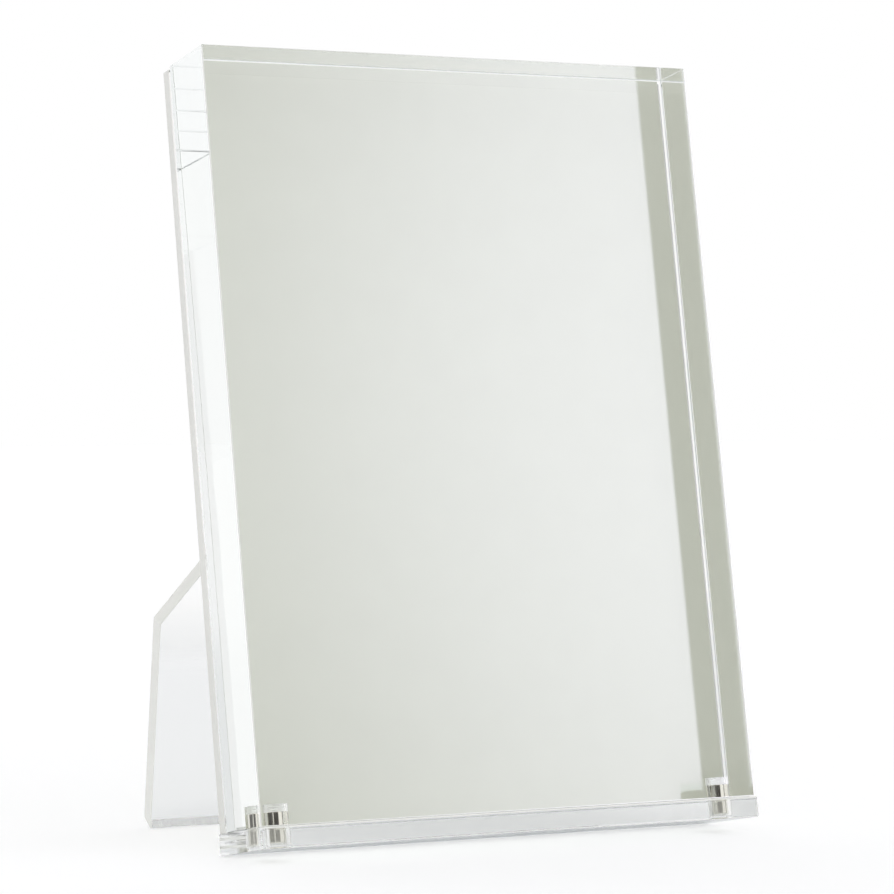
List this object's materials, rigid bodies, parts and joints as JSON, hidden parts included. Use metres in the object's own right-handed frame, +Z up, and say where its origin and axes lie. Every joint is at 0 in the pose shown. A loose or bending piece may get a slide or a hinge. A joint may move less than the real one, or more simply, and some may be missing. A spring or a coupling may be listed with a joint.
{
  "type": "acrylic photo frame",
  "caption": "Upright clear photo frame: a thick front block held by magnets on a base bar, a thin back panel and a bent easel leg that lets it lean back.",
  "frame": {"origin": "on the table, under the middle of the standing frame's footprint", "axes": "+X to the viewer's right, +Y towards the easel leg at the back, +Z up"},
  "size_m": [0.129, 0.0806, 0.1839],
  "materials": {
    "clear_block": "polished clear acrylic",
    "clear_sheet": "polished clear acrylic",
    "card": "matt uncoated card",
    "magnet_plating": "bright nickel plate"
  },
  "bodies": {
    "stand": {"base_bar": "clear_sheet", "back_panel": "clear_sheet", "easel_leg": "clear_sheet", "bar_magnet_left": "magnet_plating", "bar_magnet_right": "magnet_plating"},
    "block": {"front_block": "clear_block", "block_magnet_left": "magnet_plating", "block_magnet_right": "magnet_plating"},
    "card": {"photo_card": "card"}
  },
  "joints": [
    {"name": "block_lift", "type": "slide", "parent": "stand", "child": "block", "axis": [0, 0.1815, 0.9834], "range_m": [0, 0.19]},
    {"name": "card_draw", "type": "slide", "parent": "stand", "child": "card", "axis": [0, 0.1815, 0.9834], "range_m": [0, 0.185]}
  ]
}
